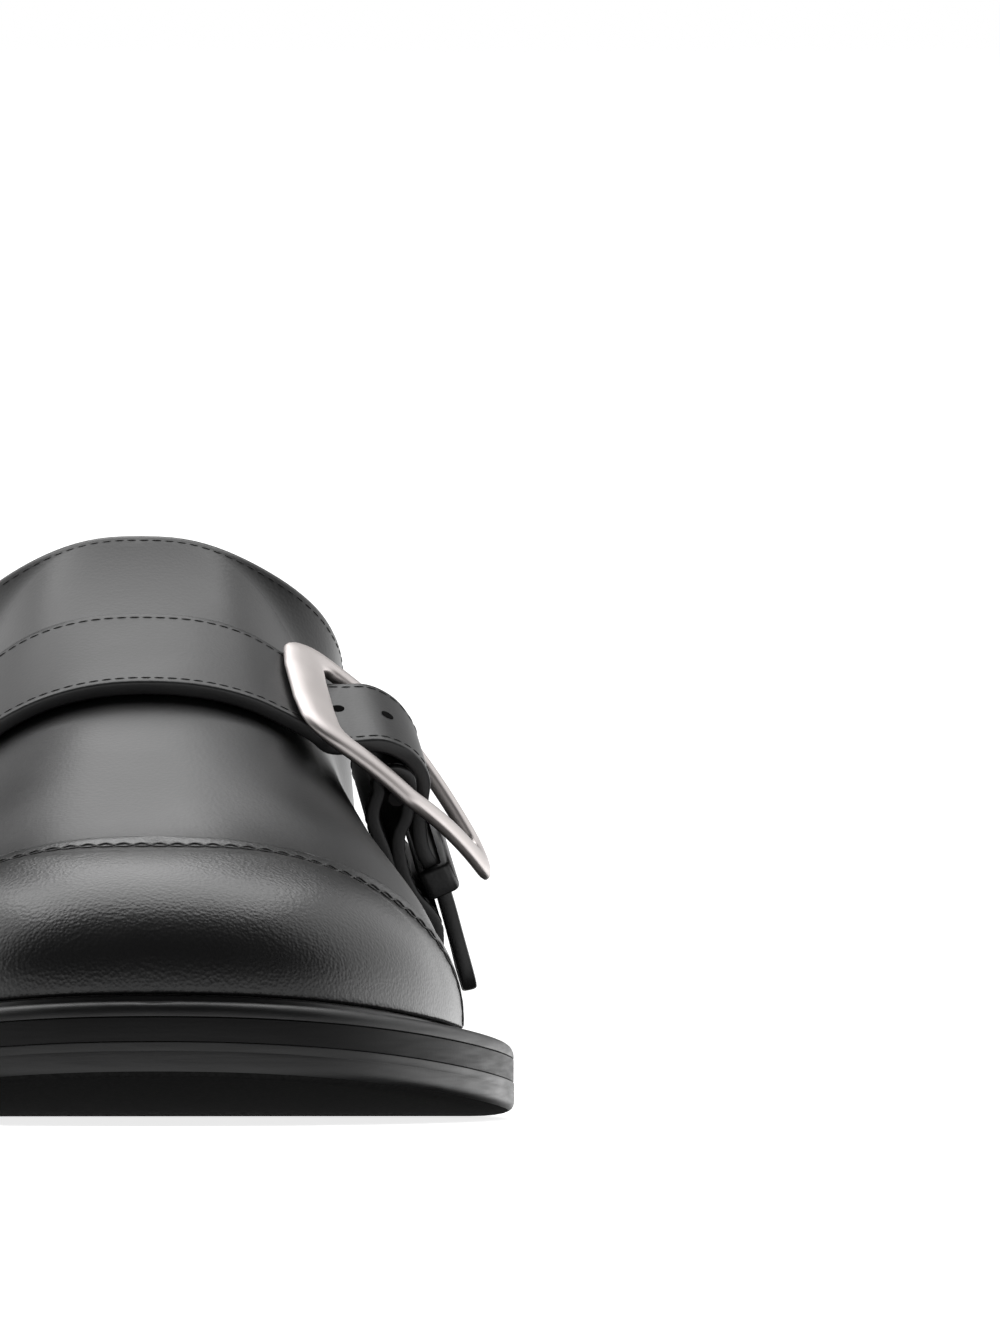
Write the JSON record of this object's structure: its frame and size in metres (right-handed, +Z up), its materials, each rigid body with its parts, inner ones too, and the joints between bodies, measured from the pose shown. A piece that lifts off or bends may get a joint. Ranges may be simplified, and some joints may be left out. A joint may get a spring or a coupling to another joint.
{
  "type": "monk strap loafer",
  "caption": "Black leather slip-on shoe with a rounded toe cap, a strap over the instep closed by a pointed metal buckle on the outer side, and a stacked welted sole with a block heel.",
  "frame": {"origin": "on the floor, under the middle of the box round the shoe", "axes": "+Z up, toe towards -Y, outer side of the foot with the buckle towards +X"},
  "size_m": [0.107, 0.3, 0.0929],
  "materials": {
    "upper_leather": "satin",
    "sole_edge": "satin",
    "insole_board": "matte",
    "nickel": "satin"
  },
  "bodies": {
    "root": {"heel": "sole_edge", "outsole": "sole_edge", "midsole": "sole_edge", "welt": "sole_edge", "insole": "insole_board", "upper": "upper_leather", "toe_cap": "upper_leather", "strap": "upper_leather", "buckle_strap": "upper_leather", "strap_keeper": "upper_leather", "buckle_frame": "nickel"}
  },
  "joints": []
}
